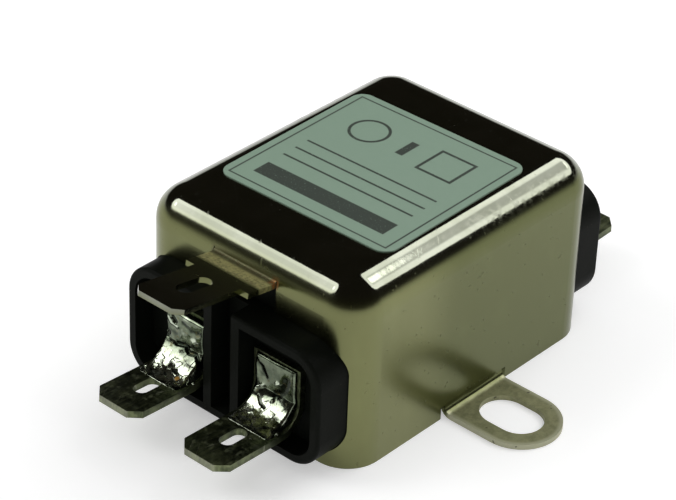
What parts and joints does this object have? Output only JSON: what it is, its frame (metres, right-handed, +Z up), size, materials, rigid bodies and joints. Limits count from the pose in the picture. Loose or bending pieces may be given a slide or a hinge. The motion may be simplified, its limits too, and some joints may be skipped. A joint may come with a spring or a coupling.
{
  "type": "emi line filter",
  "caption": "Chassis-mount power line filter: drawn steel can with slotted mounting ears, an earth tab, and push-on blade terminals in a moulded block at each end",
  "frame": {"origin": "the centre of the can's open rim, which lies in the plane of the ears' undersides", "axes": "+X along the can from the line end with the earth tab to the load end, +Y across the can along the line of the two ears, +Z up from the rim to the labelled top"},
  "size_m": [0.0642, 0.0516, 0.0218],
  "materials": {
    "can_steel": "bright nickel-like plating with fine scratches and some rust at the earth tab's crease",
    "block_plastic": "satin black moulding",
    "blade_metal": "dull tinned strip with flux and dirt",
    "solder": "mottled bright tin solder",
    "ferrite": "coated ferrite",
    "copper_wire": "enamelled copper",
    "tinned_wire": "tinned copper",
    "cap_case": "yellow moulded case",
    "disc_coat": "blue dipped coating",
    "resistor_coat": "pale blue lacquer",
    "divider_board": "pressed board",
    "film": "varnished insulating paper",
    "resin": "cast black resin",
    "label_paper": "pale grey-green printed film"
  },
  "bodies": {
    "root": {"can": "can_steel", "line_block": "block_plastic", "load_block": "block_plastic", "line_terminal_1": "blade_metal", "line_terminal_2": "blade_metal", "load_terminal_1": "blade_metal", "load_terminal_2": "blade_metal", "line_solder_1": "solder", "line_solder_2": "solder", "load_solder_1": "solder", "load_solder_2": "solder", "choke_core": "ferrite", "core_divider": "divider_board", "winding_1": "copper_wire", "winding_2": "copper_wire", "x_capacitor": "cap_case", "x_capacitor_leads": "tinned_wire", "y_capacitor_1": "disc_coat", "y_capacitor_2": "disc_coat", "y_capacitor_leads": "tinned_wire", "bleed_resistor": "resistor_coat", "resistor_leads": "tinned_wire", "lead_solder": "solder", "earth_solder": "solder", "insulating_sheet": "film", "sealing_resin": "resin", "label": "label_paper"}
  },
  "joints": []
}
